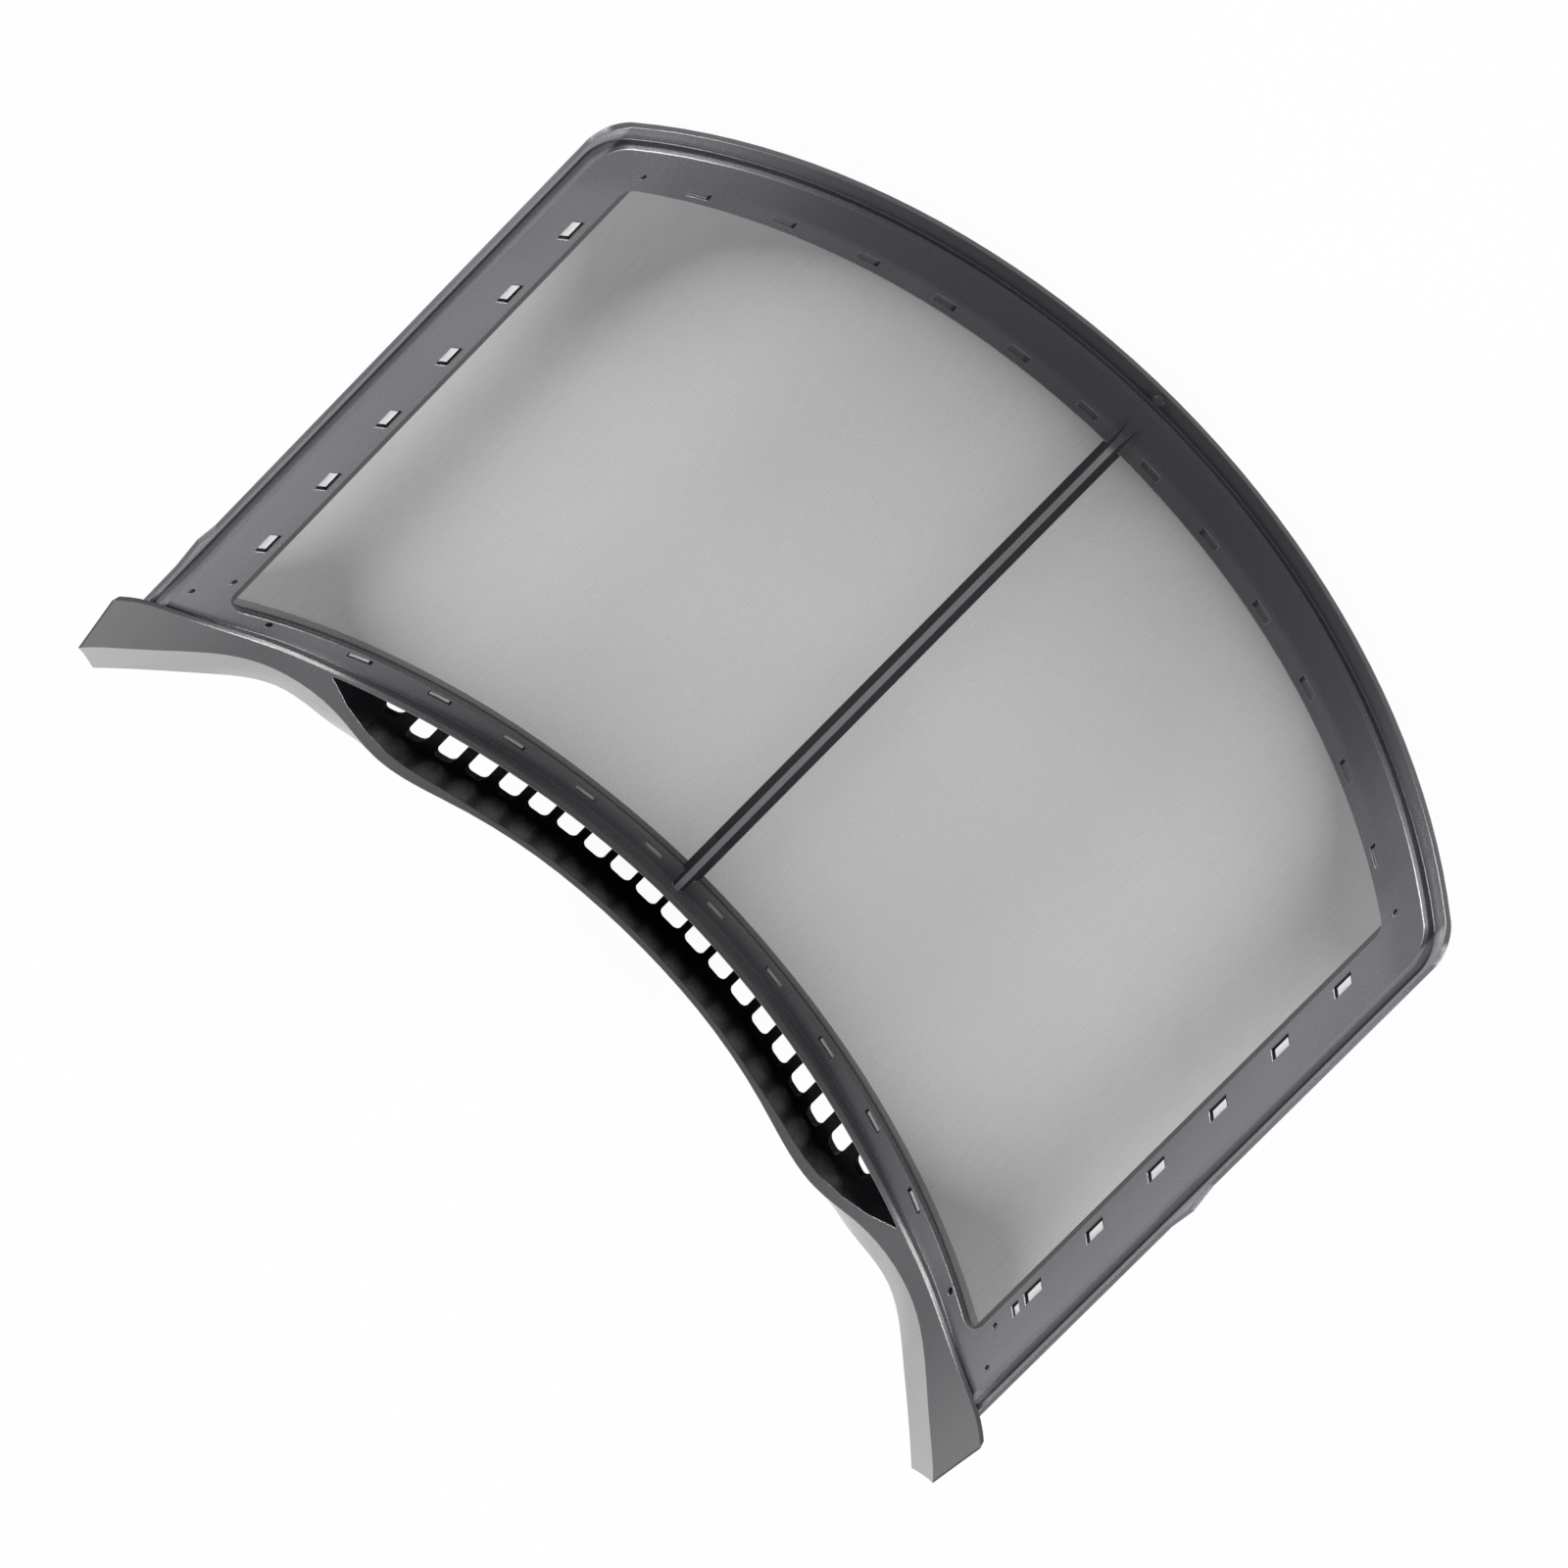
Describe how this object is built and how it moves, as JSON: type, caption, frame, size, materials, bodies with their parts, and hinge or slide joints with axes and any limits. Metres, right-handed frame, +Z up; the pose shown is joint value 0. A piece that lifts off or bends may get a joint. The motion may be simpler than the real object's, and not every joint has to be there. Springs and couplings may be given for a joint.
{
  "type": "tumble dryer lint filter",
  "caption": "Trough-shaped moulded lint filter with a fine woven screen, a centre rib, edge ledges that slide into a dryer slot and a vented finger-pocket grip.",
  "frame": {"origin": "middle of the footprint, on the plane the rounded back rests on", "axes": "+X across the trough, +Y along the trough from the grip to the far end, +Z up out of the hollow side"},
  "size_m": [0.2982, 0.2518, 0.0937],
  "materials": {
    "frame": "dark grey, fine satin grain",
    "mesh": "fine pale grey woven screen, see-through"
  },
  "bodies": {
    "root": {"frame": "frame", "mesh": "mesh"}
  },
  "joints": []
}
